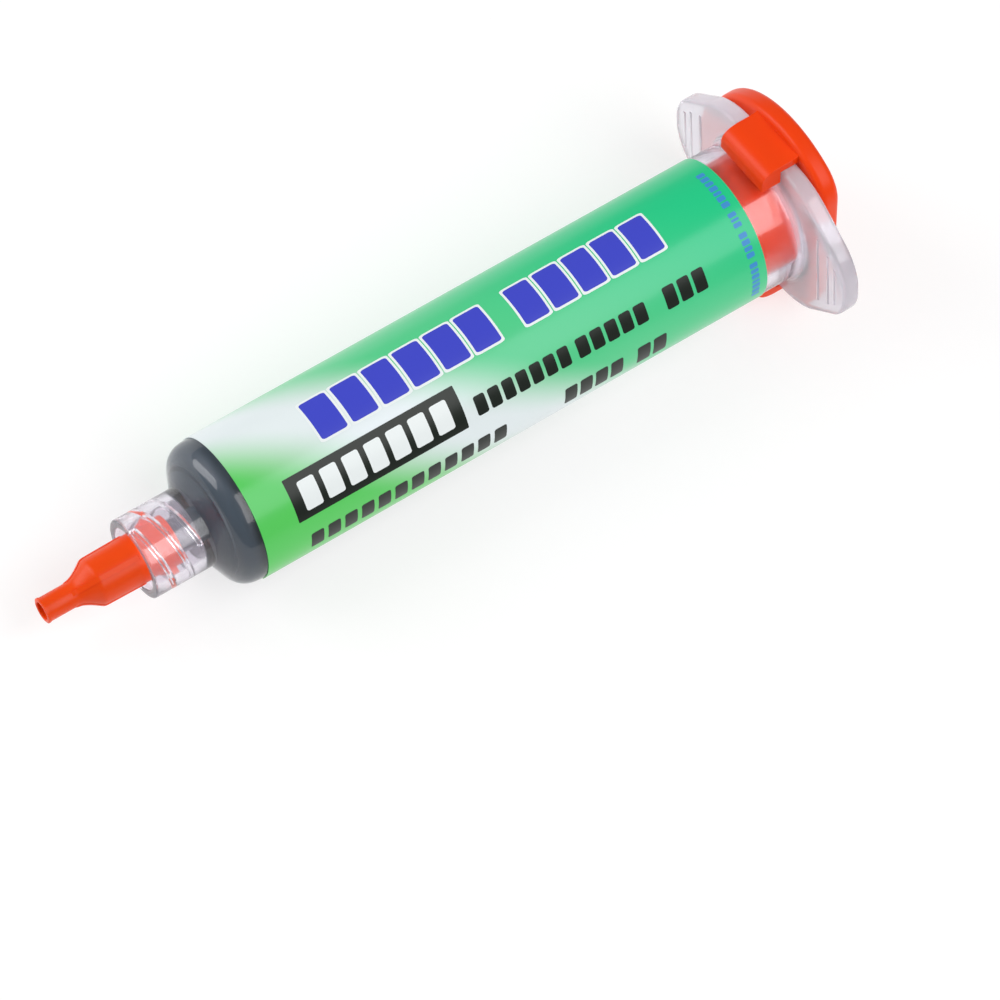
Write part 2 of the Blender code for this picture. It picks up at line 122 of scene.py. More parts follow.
def linear(hex_colour):
    """The linear red, green and blue of an sRGB hex colour."""
    parts = [int(hex_colour[i : i + 2], 16) / 255 for i in (1, 3, 5)]
    return tuple(p / 12.92 if p <= 0.04045 else ((p + 0.055) / 1.055) ** 2.4 for p in parts)


def colour(name, note, hex_colour):
    """A colour that a user may change."""
    return bpy.props.FloatVectorProperty(
        name=name, description=note, default=linear(hex_colour), min=0.0, max=1.0, size=3, subtype="COLOR"
    )


class SyringeSizes(bpy.types.PropertyGroup):
    """Sizes of the syringe's pieces."""

    bore_radius: length("Bore radius", "Inside of the barrel", 7.95)
    wall: length("Wall", "Thickness of the barrel's wall", 1.35)
    barrel_length: length("Barrel length", "Collar front to flange back", 92.0)
    shoulder_cone: length("Shoulder cone", "Length of the shoulder's steep part", 1.4)
    shoulder_cone_radius: length("Shoulder cone radius", "Radius where the cone ends", 8.0)
    shoulder_round: length("Shoulder rounding", "Length of the shoulder's rounding", 2.7)
    collar_radius: length("Collar radius", "Outside of the luer collar", 5.2)
    collar_length: length("Collar length", "Length of the luer collar", 8.3)
    collar_bore: length("Collar bore radius", "Inside of the luer collar", 4.05)
    collar_floor: length("Collar floor", "Depth from the pocket's floor to the shoulder", 0.9)
    collar_edge: length("Collar edge", "Rounding of the collar's rim", 0.3)
    thread_height: length("Thread height", "How far the collar's inside thread stands in", 0.42)
    thread_pitch: length("Thread pitch", "Distance from ridge to ridge", 2.5)
    luer_reach: length("Luer reach", "How far the cone stands out of the collar", 2.1)
    luer_radius: length("Luer radius", "Radius of the cone's tip", 2.0)
    channel_radius: length("Channel radius", "Radius of the hole through the cone", 1.4)
    flange_thickness: length("Flange thickness", "Thickness of the finger flange", 2.25)
    flange_half_length: length("Flange half length", "Axis to wing tip", 17.5)
    flange_half_width: length("Flange half width", "Axis to straight side", 11.2)
    flange_shoulder: length("Flange shoulder", "Half length of the straight side", 8.2)
    flange_tip: length("Flange tip", "Half width of the wing tip", 3.85)
    flange_corner: length("Flange corner", "Rounding of the flange's corners", 3.0)
    label_front: length("Label front", "Place of the label's front edge", 12.7)
    label_back: length("Label back", "Place of the label's back edge", 84.2)
    label_thickness: length("Label thickness", "Thickness of the printed film", 0.10)
    paste_end: length("Paste end", "Place of the back of the paste", 61.47)
    piston_length: length("Piston length", "Length of the piston", 12.0)
    cap_radius: length("Cap radius", "Radius of the end cap's disc", 13.97)
    cap_thickness: length("Cap thickness", "Thickness of the end cap's disc", 2.55)
    cap_flat: length("Cap flat", "Axis to the disc's straight side", 9.5)
    cap_corner: length("Cap corner", "Softening where round and straight sides meet", 2.6)
    hook_reach: length("Hook reach", "Axis to the outside of a hook", 12.6)
    hook_half_width: length("Hook half width", "Half the width of a hook", 4.2)
    hook_lip: length("Hook lip", "Length of the catch in front of the flange", 2.7)
    plug_radius: length("Plug radius", "Outside of the cap's plug", 7.7)
    plug_depth: length("Plug depth", "How far the plug reaches into the bore", 8.7)
    tip_length: length("Tip length", "How far the tip cap stands out of the collar", 12.55)
    tip_nose_radius: length("Tip nose radius", "Outside of the tip cap's nose", 1.57)
    tip_nose_length: length("Tip nose length", "Length of the tip cap's nose", 4.1)
    tip_flare: length("Tip flare", "Length of the tip cap's flare", 3.2)
    tip_body_radius: length("Tip body radius", "Outside of the tip cap's body", 3.02)
    tip_insertion: length("Tip insertion", "How far the tip cap goes into the collar", 5.0)


class SyringeColours(bpy.types.PropertyGroup):
    """Colours of the syringe's materials."""

    clear: colour("Clear plastic", "Tint of the barrel", "#F4F0F8")
    paste: colour("Paste", "Solder paste behind the wall", "#364650")
    tip_orange: colour("Tip orange", "Tip cap", "#EF490B")
    cap_orange: colour("Cap orange", "End cap", "#F34207")
    piston: colour("Piston", "Piston", "#EDEDE6")
    label_left: colour("Label left", "Label's colour at the tip end", "#58CE5C")
    label_middle: colour("Label middle", "Label's colour halfway", "#56CF8C")
    label_right: colour("Label right", "Label's colour at the cap end", "#20CA86")
    label_band: colour("Label band", "Pale band across the label", "#E6EFF0")
    title_blue: colour("Title blue", "Blocks in the place of the title", "#4048C6")
    mark_blue: colour("Mark blue", "Small marks round the cap end", "#3C8FD0")
    ink_black: colour("Black ink", "Panel and lines", "#101A12")
    ink_white: colour("White ink", "Outlines and panel blocks", "#EDF3F3")


def sizes():
    """The sizes as the scene now has them."""
    return bpy.context.scene.syringe_sizes


def colours():
    """The colours as the scene now has them."""
    return bpy.context.scene.syringe_colours


def rounding(start, corner, end):
    """Points along a smooth bend from start to end, pulled towards corner."""
    start, corner, end = Vector(start), Vector(corner), Vector(end)
    points = []
    for step in range(CURVE_STEPS + 1):
        share = step / CURVE_STEPS
        points.append(tuple(start.lerp(corner, share).lerp(corner.lerp(end, share), share)))
    return points


def eased(points, radius):
    """The outline with each inner corner softened by a small bend."""
    soft = [points[0]]
    for before, here, after in zip(points, points[1:], points[2:]):
        here_v = Vector(here)
        back, ahead = Vector(before) - here_v, Vector(after) - here_v
        reach = min(radius, back.length * 0.45, ahead.length * 0.45)
        soft_start = here_v + back.normalized() * reach
        soft_end = here_v + ahead.normalized() * reach
        for share in (0.0, 0.25, 0.5, 0.75, 1.0):
            bend = soft_start.lerp(here_v, share).lerp(here_v.lerp(soft_end, share), share)
            soft.append(tuple(bend))
    soft.append(points[-1])
    return soft


def faced_out(body):
    """Turns the faces of a closed body outwards."""
    bmesh.ops.recalc_face_normals(body, faces=body.faces)
    if body.calc_volume(signed=True) < 0.0:
        bmesh.ops.reverse_faces(body, faces=body.faces)
    return body


def turned(profile, closed=False):
    """A body turned about X from (x, radius) points."""
    body = bmesh.new()
    verts = [body.verts.new((x, 0.0, radius)) for x, radius in profile]
    edges = [body.edges.new(pair) for pair in zip(verts, verts[1:])]
    if closed:
        edges.append(body.edges.new((verts[-1], verts[0])))
    bmesh.ops.spin(
        body,
        geom=verts + edges,
        axis=(1.0, 0.0, 0.0),
        cent=(0.0, 0.0, 0.0),
        angle=math.tau,
        steps=ROUND_STEPS,
        use_merge=True,
    )
    bmesh.ops.remove_doubles(body, verts=body.verts, dist=MERGE_DISTANCE)
    return faced_out(body)


def extruded(outline, sweep):
    """A solid made by sweeping a flat outline along a vector."""
    body = bmesh.new()
    face = body.faces.new([body.verts.new(point) for point in outline])
    grown = bmesh.ops.extrude_face_region(body, geom=[face])
    moved = [item for item in grown["geom"] if isinstance(item, bmesh.types.BMVert)]
    bmesh.ops.translate(body, verts=moved, vec=sweep)
    return faced_out(body)


def round_edges(body, edges, radius, segments):
    """Rounds edges to a radius, with so many flats on the bend."""
    bmesh.ops.bevel(
        body,
        geom=edges,
        offset=radius,
        segments=segments,
        profile=0.5,
        affect="EDGES",
        clamp_overlap=True,
        material=-1,
    )


def sharp_edges(body, least):
    """The edges whose faces meet at more than an angle in radians."""
    return [e for e in body.edges if len(e.link_faces) == 2 and e.calc_face_angle() > least]


def edges_along_x(body):
    """The edges that run along the syringe."""
    found = []
    for edge in body.edges:
        run = (edge.verts[1].co - edge.verts[0].co).normalized()
        if abs(run.x) > 0.999:
            found.append(edge)
    return found


def mesh_of(body, name):
    """A mesh with the faces of a bmesh, which is let go."""
    mesh = bpy.data.meshes.new(name)
    body.to_mesh(mesh)
    body.free()
    return mesh


def linked(name, data):
    """A new object in the scene that holds the given data."""
    thing = bpy.data.objects.new(name, data)
    bpy.context.collection.objects.link(thing)
    return thing


def about_axis(body, degrees):
    """Turns a body about the syringe's axis, from the top towards the near side."""
    turn = Matrix.Rotation(math.radians(degrees), 3, "X")
    bmesh.ops.rotate(body, verts=body.verts, cent=(0.0, 0.0, 0.0), matrix=turn)
    return body


def joined(bodies):
    """One bmesh that holds all the given ones."""
    whole = bmesh.new()
    for body in bodies:
        mesh = mesh_of(body, "lump")
        whole.from_mesh(mesh)
        bpy.data.meshes.remove(mesh)
    return whole


def placed(body, name):
    """A helper object for a closed bmesh, still in the syringe's own frame."""
    if any(len(edge.link_faces) != 2 for edge in body.edges):
        raise ValueError("an open body can't be joined or carved")
    return linked(name, mesh_of(body, name))


def carved(base, adds, cuts=()):
    """The base with bodies joined on and others cut away, as one bmesh."""
    main_body = placed(base, "base")
    helpers = [main_body]
    for operation, bodies in (("UNION", adds), ("DIFFERENCE", cuts)):
        for body in bodies:
            helper = placed(body, "helper")
            modifier = main_body.modifiers.new("carve", "BOOLEAN")
            modifier.operation = operation
            modifier.object = helper
            modifier.solver = "EXACT"
            helpers.append(helper)
    bpy.context.view_layer.update()
    graph = bpy.context.evaluated_depsgraph_get()
    shown = main_body.evaluated_get(graph)
    result = bmesh.new()
    result.from_mesh(shown.to_mesh())
    shown.to_mesh_clear()
    for helper in helpers:
        mesh = helper.data
        bpy.data.objects.remove(helper, do_unlink=True)
        bpy.data.meshes.remove(mesh)
    bmesh.ops.dissolve_degenerate(result, dist=MERGE_DISTANCE, edges=result.edges)
    return result


def finish_piece(name, body, material, rides_on, replaced):
    """Lays a piece in the frame and hands it to its body."""
    bmesh.ops.transform(body, matrix=LAY, verts=body.verts)
    mesh = mesh_of(body, name)
    mesh.shade_smooth()
    mesh.set_sharp_from_angle(angle=math.radians(LEAST_CREASE))
    mesh.materials.append(material)
    piece = linked(name, mesh)
    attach(piece, rides_on)
    if replaced:
        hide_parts(replaced)
    return piece


def add_node(tree, kind, settings=None, values=None, links=None):
    """Adds a node with its settings, socket values and incoming links."""
    made = tree.nodes.new(kind)
    for key, value in (settings or {}).items():
        setattr(made, key, value)
    for socket, value in (values or {}).items():
        made.inputs[socket].default_value = value
    for socket, source in (links or {}).items():
        tree.links.new(source, made.inputs[socket])
    return made


def new_material(name, **values):
    """A Principled material with values set on its own sockets."""
    material = bpy.data.materials.new(name)
    material.use_nodes = True
    tree = material.node_tree
    shader = tree.nodes["Principled BSDF"]
    for socket, value in values.items():
        shader.inputs[socket.replace("_", " ")].default_value = value
    return material, tree, shader


def axial_place(tree):
    """The distance along the syringe's axis, in millimetres, as a node output."""
    where = add_node(tree, "ShaderNodeTexCoord")
    from_collar = add_node(
        tree,
        "ShaderNodeVectorMath",
        {"operation": "SUBTRACT"},
        {1: COLLAR_FRONT},
        {0: where.outputs["Object"]},
    )
    along = add_node(
        tree,
        "ShaderNodeVectorMath",
        {"operation": "DOT_PRODUCT"},
        {1: AXIS / MM},
        {0: from_collar.outputs["Vector"]},
    )
    return along.outputs["Value"]


def moulded_bump(tree, shader, grain_mm, depth_mm, strength):
    """A faint unevenness of a moulded surface, grain_mm from crest to crest."""
    where = add_node(tree, "ShaderNodeTexCoord")
    noise = add_node(
        tree,
        "ShaderNodeTexNoise",
        values={"Scale": 1.0 / (grain_mm * MM), "Detail": 2.0, "Roughness": 0.5},
        links={"Vector": where.outputs["Object"]},
    )
    bump = add_node(
        tree,
        "ShaderNodeBump",
        values={"Strength": strength, "Distance": depth_mm * MM},
        links={"Height": noise.outputs["Fac"]},
    )
    tree.links.new(bump.outputs["Normal"], shader.inputs["Normal"])


def mottled(tree, shader, tint, dark, pale, grain_mm, detail, roughness):
    """Lets a colour wander between a darker and a paler shade, in grains of a size."""
    where = add_node(tree, "ShaderNodeTexCoord")
    noise = add_node(
        tree,
        "ShaderNodeTexNoise",
        values={"Scale": 1.0 / (grain_mm * MM), "Detail": detail, "Roughness": roughness},
        links={"Vector": where.outputs["Object"]},
    )
    shade = add_node(
        tree,
        "ShaderNodeMix",
        {"data_type": "RGBA"},
        {"A": (*[c * dark for c in tint], 1.0), "B": (*[min(1.0, c * pale) for c in tint], 1.0)},
        {"Factor": noise.outputs["Fac"]},
    )
    tree.links.new(shade.outputs["Result"], shader.inputs["Base Color"])


def clear_polypropylene():
    """Clarified polypropylene, injection moulded: clear on the wet wall, milky in the collar and flange."""
    material, tree, shader = new_material(
        "clarified_polypropylene",
        Base_Color=(*colours().clear, 1.0),
        Roughness=0.10,
        IOR=1.49,
        Metallic=0.0,
    )
    size = sizes()
    collar_end = size.collar_length / MM
    flange_front = (size.barrel_length - size.flange_thickness) / MM
    along = axial_place(tree)
    # Each ramp: its start and end in millimetres, and how clear the plastic is before and after
    ramps = (
        (collar_end - 1.2, collar_end + 0.6, 0.91, 0.99),
        (flange_front - 1.6, flange_front + 0.4, 1.0, 0.6),
    )
    steps = []
    for start, end, before, after in ramps:
        step = add_node(
            tree,
            "ShaderNodeMapRange",
            {"interpolation_type": "SMOOTHSTEP"},
            {"From Min": start, "From Max": end, "To Min": before, "To Max": after},
            {"Value": along},
        )
        steps.append(step.outputs["Result"])
    clearness = add_node(
        tree, "ShaderNodeMath", {"operation": "MULTIPLY"}, links={0: steps[0], 1: steps[1]}
    )
    tree.links.new(clearness.outputs["Value"], shader.inputs["Transmission Weight"])
    moulded_bump(tree, shader, grain_mm=5.0, depth_mm=0.05, strength=0.25)
    # The wall lets the lamps' light through to the plug, the paste and the tip cap.
    path = add_node(tree, "ShaderNodeLightPath")
    passing = add_node(tree, "ShaderNodeBsdfTransparent", values={"Color": (0.80, 0.77, 0.81, 1.0)})
    lit_through = add_node(
        tree,
        "ShaderNodeMixShader",
        links={
            0: path.outputs["Is Shadow Ray"],
            1: shader.outputs["BSDF"],
            2: passing.outputs["BSDF"],
        },
    )
    output = tree.nodes["Material Output"]
    tree.links.new(lit_through.outputs["Shader"], output.inputs["Surface"])
    return material


def wall_wetting_paste():
    """Tin alloy powder in flux, pressed wet against the wall: slate grey with a fine grain."""
    material, tree, shader = new_material("solder_paste", Roughness=0.42, IOR=1.45, Metallic=0.0)
    # The powder is 25 to 45 microns, too fine to show, so it is drawn 0.35 mm coarse.
    tint = colours().paste
    mottled(tree, shader, tint, dark=0.86, pale=1.12, grain_mm=0.35, detail=3.0, roughness=0.6)
    return material


def orange_polyethylene(name, tint, roughness):
    """Dyed polyethylene, injection moulded: saturated, softly glossy, a little light passes in."""
    material, tree, shader = new_material(
        name,
        Roughness=roughness,
        IOR=1.51,
        Metallic=0.0,
        Specular_IOR_Level=0.2,
        Subsurface_Weight=0.12,
        Subsurface_Scale=0.0012,
    )
    mottled(tree, shader, tint, dark=0.93, pale=1.0, grain_mm=6.0, detail=2.0, roughness=0.5)
    moulded_bump(tree, shader, grain_mm=1.6, depth_mm=0.012, strength=0.3)
    return material


def piston_polyethylene():
    """Natural polyethylene, injection moulded: milky white and waxy."""
    material, tree, shader = new_material(
        "natural_polyethylene",
        Base_Color=(*colours().piston, 1.0),
        Roughness=0.4,
        IOR=1.51,
        Metallic=0.0,
        Subsurface_Weight=0.2,
        Subsurface_Scale=0.002,
    )
    moulded_bump(tree, shader, grain_mm=1.5, depth_mm=0.01, strength=0.3)
    return material


def printed_film():
    """Printed polypropylene film: colours flow from leaf green to teal, with a pale band across."""
    material, tree, shader = new_material(
        "printed_film",
        Roughness=0.30,
        IOR=1.49,
        Metallic=0.0,
        Coat_Weight=0.22,
        Coat_Roughness=0.2,
        Specular_IOR_Level=0.3,
        Specular_Tint=(0.65, 0.65, 1.0, 1.0),
    )
    tints = colours()
    where = add_node(tree, "ShaderNodeUVMap", {"uv_map": "label_mm_degrees"})
    split = add_node(tree, "ShaderNodeSeparateXYZ", links={0: where.outputs["UV"]})
    along, about = split.outputs["X"], split.outputs["Y"]
    # Towards the top the teal starts nearer the tip: 0.25 mm for each degree.
    teal_slant = 0.25
    slant = add_node(
        tree,
        "ShaderNodeMath",
        {"operation": "MULTIPLY_ADD"},
        {1: -teal_slant, 2: teal_slant * NEAR_ANGLE},
        {0: about},
    )
    flow = add_node(tree, "ShaderNodeMath", {"operation": "ADD"}, links={0: along, 1: slant.outputs[0]})
    # The green turns to the middle colour and that to teal, each between two places in millimetres.
    green = None
    for start, end, tint in ((18.0, 49.0, tints.label_middle), (47.0, 90.0, tints.label_right)):
        turn = add_node(
            tree,
            "ShaderNodeMapRange",
            {"interpolation_type": "SMOOTHSTEP"},
            {"From Min": start, "From Max": end},
            {"Value": flow.outputs[0]},
        )
        links = {"Factor": turn.outputs["Result"]}
        if green:
            links["A"] = green.outputs["Result"]
        values = {"A": (*tints.label_left, 1.0), "B": (*tint, 1.0)}
        green = add_node(tree, "ShaderNodeMix", {"data_type": "RGBA"}, values, links)
    # The pale band's middle is 31.5 mm along on the near side, and 0.26 mm nearer the end cap
    # for each degree downwards. The band fades out between 2 and 17 mm from its middle.
    band_middle, band_slant = 31.5, 0.26
    fade_start, fade_end = 2.0, 17.0
    band_line = add_node(
        tree,
        "ShaderNodeMath",
        {"operation": "MULTIPLY_ADD"},
        {1: band_slant, 2: band_middle - band_slant * NEAR_ANGLE},
        {0: about},
    )
    off_line = add_node(
        tree, "ShaderNodeMath", {"operation": "SUBTRACT"}, links={0: along, 1: band_line.outputs[0]}
    )
    off_size = add_node(tree, "ShaderNodeMath", {"operation": "ABSOLUTE"}, links={0: off_line.outputs[0]})
    pale = add_node(
        tree,
        "ShaderNodeMapRange",
        {"interpolation_type": "SMOOTHSTEP"},
        {"From Min": fade_start, "From Max": fade_end, "To Min": 1.0, "To Max": 0.0},
        {"Value": off_size.outputs[0]},
    )
    final = add_node(
        tree,
        "ShaderNodeMix",
        {"data_type": "RGBA"},
        {"B": (*tints.label_band, 1.0)},
        {"Factor": pale.outputs["Result"], "A": green.outputs["Result"]},
    )
    tree.links.new(final.outputs["Result"], shader.inputs["Base Color"])
    return material


def ink(name, tint):
    """Printing ink, a flat even coat on the film."""
    material, tree, shader = new_material(
        name,
        Base_Color=(*tint, 1.0),
        Roughness=0.34,
        IOR=1.49,
        Metallic=0.0,
        Specular_IOR_Level=0.3,
    )
    moulded_bump(tree, shader, grain_mm=0.4, depth_mm=0.004, strength=0.2)
    return material


def luer_cone(x, gap=0.0):
    """The male cone's radius at x; its taper is 6 percent across."""
    size = sizes()
    taper = 0.06
    return size.luer_radius + taper / 2 * (x + size.luer_reach) + gap


def shoulder_points(inset):
    """The shoulder's bend, inset from the outside, up to the barrel's side."""
    size = sizes()
    slope = (size.shoulder_cone_radius - size.collar_radius) / size.shoulder_cone
    angle = math.atan(slope)
    side = size.bore_radius + size.wall - inset
    end = size.collar_length + size.shoulder_cone + size.shoulder_round
    start_x = size.collar_length + inset * math.sin(angle)
    start_r = size.collar_radius - inset * math.cos(angle)
    bend_r = size.shoulder_cone_radius - inset
    bend_x = start_x + (bend_r - start_r) / slope
    corner_x = start_x + (side - start_r) / slope
    return [(start_x, start_r)] + rounding((bend_x, bend_r), (corner_x, side), (end, side))


def bore_profile(front, back, gap):
    """The hollow of the barrel from front to back, shrunk by a gap."""
    size = sizes()
    mouth = size.collar_length + size.wall / 2 + gap
    channel = size.channel_radius - gap
    profile = [(front, 0.0), (front, channel), (mouth, channel)]
    profile += shoulder_points(size.wall + gap)
    profile.append((back, size.bore_radius - gap))
    return profile


def barrel_outside():
    """The barrel turned from its luer cone to halfway through the flange, still solid."""
    size = sizes()
    pocket = size.collar_length - size.collar_floor
    outer = size.bore_radius + size.wall
    front = size.barrel_length - size.flange_thickness
    fillet = 1.2 * MM
    nose = [
        (-size.luer_reach, 0.0),
        (-size.luer_reach, size.luer_radius),
        (pocket, luer_cone(pocket)),
        (pocket, size.collar_bore),
        (0.0, size.collar_bore),
        (0.0, size.collar_radius),
        (size.collar_length, size.collar_radius),
    ]
    profile = eased(nose, size.collar_edge)[:-1]
    profile += shoulder_points(0.0)
    profile += rounding((front - fillet, outer), (front, outer), (front, outer + fillet))
    middle = front + size.flange_thickness / 2
    profile += [(middle, outer + fillet), (middle, 0.0)]
    return turned(profile)


def thread_ridges():
    """The two-start thread inside the collar, which draws a needle onto the cone."""
    size = sizes()
    sunk = 0.08 * MM
    half_root = 0.42 * MM
    half_crest = half_root * 0.35
    start = 0.9 * MM
    start_angle = math.radians(170.0)
    root = size.collar_bore + sunk
    crest = size.collar_bore - size.thread_height
    lead = 2 * size.thread_pitch
    turns = (size.collar_length - size.collar_floor - start - half_root) / lead
    steps = round(turns * ROUND_STEPS / 2)
    corners = [(-half_root, root), (-half_crest, crest), (half_crest, crest), (half_root, root)]
    ridges = []
    for index in range(2):
        ridge = bmesh.new()
        turn = Matrix.Rotation(start_angle + index * math.pi, 3, "X")
        verts = [ridge.verts.new(turn @ Vector((start + x, 0.0, radius))) for x, radius in corners]
        face = ridge.faces.new(verts)
        bmesh.ops.spin(
            ridge,
            geom=verts + list(face.edges) + [face],
            axis=(1.0, 0.0, 0.0),
            cent=(0.0, 0.0, 0.0),
            dvec=(turns * lead / steps, 0.0, 0.0),
            angle=turns * math.tau,
            steps=steps,
        )
        bmesh.ops.remove_doubles(ridge, verts=ridge.verts, dist=MERGE_DISTANCE)
        ridges.append(faced_out(ridge))
    return joined(ridges)


def flange_plate():
    """The six-sided finger flange, with soft corners and edges."""
    size = sizes()
    front = size.barrel_length - size.flange_thickness
    right = [
        (size.flange_half_length, size.flange_tip),
        (size.flange_shoulder, size.flange_half_width),
        (-size.flange_shoulder, size.flange_half_width),
        (-size.flange_half_length, size.flange_tip),
    ]
    corners = right + [(-y, -z) for y, z in right]
    plate = extruded([(front, y, z) for y, z in corners], (size.flange_thickness, 0.0, 0.0))
    round_edges(plate, edges_along_x(plate), size.flange_corner, 12)
    round_edges(plate, sharp_edges(plate, SQUARE_EDGE), 0.45 * MM, 4)
    return plate


def grip_ribs():
    """Three fine ribs across the front of each wing."""
    size = sizes()
    front = size.barrel_length - size.flange_thickness
    # Each rib: its place from the axis and half its length, in millimetres
    rows = ((12.1, 5.6), (14.1, 4.4), (15.4, 3.2))
    # Across a rib: the place from its middle and how far it stands out, in millimetres
    swell = ((-0.3, -0.3), (-0.16, 0.09), (0.0, 0.14), (0.16, 0.09), (0.3, -0.3))
    ribs = []
    for side in (-1.0, 1.0):
        for place, half in rows:
            outline = []
            for y, rise in swell:
                outline.append((front - rise * MM, (side * place + y) * MM, -half * MM))
            ribs.append(extruded(outline, (0.0, 0.0, 2 * half * MM)))
    return joined(ribs)


class SYRINGE_OT_barrel(bpy.types.Operator):
    """Makes the clear barrel with its luer lock thread and finger flange"""

    bl_idname = "syringe.barrel"
    bl_label = "Clear Barrel"

    def execute(self, context):
        size = sizes()
        past = size.wall
        hollow = bore_profile(-size.luer_reach - past, size.barrel_length + past, 0.0)
        hollow.append((size.barrel_length + past, 0.0))
        body = carved(
            barrel_outside(), (flange_plate(), grip_ribs(), thread_ridges()), (turned(hollow),)
        )
        finish_piece("clear_barrel", body, clear_polypropylene(), "barrel", "barrel")
        return {"FINISHED"}


class SYRINGE_OT_paste(bpy.types.Operator):
    """Makes the paste, which wets the wall"""

    bl_idname = "syringe.paste"
    bl_label = "Solder Paste"

    def execute(self, context):
        size = sizes()
        # The paste reaches 0.02 mm into the wall, so that it shows as wetting it.
        contact = -0.02 * MM
        tip_gap = 0.6 * MM
        skin_thickness = 0.5 * MM
        core_gap = 0.6 * MM
        nose = 2.1 * MM
        shoulder_end = size.collar_length + size.shoulder_cone + size.shoulder_round
        outer = size.bore_radius - contact
        inner = size.bore_radius - skin_thickness
        material = wall_wetting_paste()
        profile = bore_profile(tip_gap - size.luer_reach, shoulder_end, contact)
        profile += [(shoulder_end, inner), (shoulder_end - nose, 0.0)]
        finish_piece("paste_front", turned(profile), material, "barrel", "solder_paste")
        # The core ends short of the skin, so that the piston's nose never meets it.
        skin = [
            (shoulder_end, inner),
            (size.paste_end, inner),
            (size.paste_end, outer),
            (shoulder_end, outer),
        ]
        core_front, core_back = shoulder_end - nose, size.paste_end - nose
        core_radius = inner - core_gap
        core = [
            (core_front, 0.0),
            (core_front, core_radius),
            (core_back, core_radius),
            (core_back, 0.0),
        ]
        columns = (
            ("paste_skin", turned(skin, closed=True), shoulder_end),
            ("paste_core", turned(core), core_front),
        )
        for name, body, fixed_end in columns:
            piece = finish_piece(name, body, material, "barrel", None)
            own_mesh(piece)
        return {"FINISHED"}


class SYRINGE_OT_piston(bpy.types.Operator):
    """Makes the wiper piston with its cup for the push rod"""

    bl_idname = "syringe.piston"
    bl_label = "Piston"

    def execute(self, context):
        size = sizes()
        paste_gap, wiper_gap = 0.03 * MM, 0.1 * MM
        blunt, waist_depth = 0.4 * MM, 0.5 * MM
        start = size.paste_end + paste_gap
        end = start + size.piston_length
        wiper = size.bore_radius - wiper_gap
        waist = wiper - waist_depth
        profile = [
            (start - 2.0 * MM, 0.0),
            (start, wiper - blunt),
            (start + blunt, wiper),
            (start + 2.0 * MM, wiper),
            (start + 2.5 * MM, waist),
            (end - 2.5 * MM, waist),
            (end - 2.0 * MM, wiper),
            (end - blunt, wiper),
            (end, wiper - blunt),
            (end, 6.0 * MM),
            (start + 2.0 * MM, 5.6 * MM),
            (start + 1.0 * MM, 0.0),
        ]
        body = turned(eased(profile, 0.25 * MM))
        finish_piece("wiper_piston", body, piston_polyethylene(), "piston", "piston")
        return {"FINISHED"}


def cap_seat():
    """The place of the disc's front face, just behind the flange."""
    return sizes().barrel_length + CAP_GAP


def cap_flat_angle():
    """Half the angle that the disc's straight side takes up."""
    size = sizes()
    return math.acos(size.cap_flat / size.cap_radius)


def cap_corner(side):
    """The soft corner between the disc's round edge and its straight one."""
    size = sizes()
    angle = cap_flat_angle()
    half_flat = size.cap_radius * math.sin(angle)
    spared = angle + size.cap_corner / size.cap_radius
    flat_end = (-size.cap_flat, side * (half_flat - size.cap_corner))
    corner = (-size.cap_flat, side * half_flat)
    round_end = (-size.cap_radius * math.cos(spared), side * size.cap_radius * math.sin(spared))
    return rounding(flat_end, corner, round_end)


def cap_disc():
    """The end cap's round plate, cut off straight on its near side."""
    size = sizes()
    spared = cap_flat_angle() + size.cap_corner / size.cap_radius
    swept = math.tau - 2 * spared
    steps = round(ROUND_STEPS * swept / math.tau)
    places = cap_corner(1.0)
    for step in range(1, steps):
        turn = spared + swept * step / steps
        places.append((-size.cap_radius * math.cos(turn), size.cap_radius * math.sin(turn)))
    places += reversed(cap_corner(-1.0))
    disc = extruded([(cap_seat(), y, z) for y, z in places], (size.cap_thickness, 0.0, 0.0))
    round_edges(disc, sharp_edges(disc, SQUARE_EDGE), 0.8 * MM, 6)
    return disc


def cap_hooks():
    """Two catches over the flange's straight sides, each with a soft valley at the disc."""
    size = sizes()
    seat = cap_seat()
    root = seat + size.cap_thickness / 2
    catch = size.barrel_length - size.flange_thickness - CAP_GAP
    front = catch - size.hook_lip
    inner = size.flange_half_width + 0.35 * MM
    catch_reach = size.bore_radius + size.wall + 0.3 * MM
    reach = size.hook_reach
    nose_drop, nose_lean = 1.6 * MM, 0.35 * MM
    valley_start, valley_end, valley_rise = 1.5 * MM, 0.8 * MM, 0.6 * MM
    soft_bend = 0.6
    points = [(root, inner), (catch, inner), (catch, catch_reach), (front, catch_reach)]
    points += rounding((front, reach - nose_drop), (front + nose_lean, reach), (catch, reach))
    points += rounding(
        (seat - valley_start, reach), (seat, reach), (seat + valley_end, reach + valley_rise)
    )
    points.append((root, reach + valley_rise))
    hooks = []
    for side in (-1.0, 1.0):
        outline = [(x, -size.hook_half_width, side * r) for x, r in points]
        hook = extruded(outline, (0.0, 2 * size.hook_half_width, 0.0))
        # Edges that face the barrel or the flange, or lie inside the disc, stay sharp.
        outer = []
        for edge in sharp_edges(hook, soft_bend):
            least_reach = min(abs(v.co.z) for v in edge.verts)
            least_x = min(v.co.x for v in edge.verts)
            if least_reach > inner + 0.1 * MM and least_x < root - 0.2 * MM:
                outer.append(edge)
        round_edges(hook, outer, 0.8 * MM, 5)
        hooks.append(hook)
    return joined(hooks)


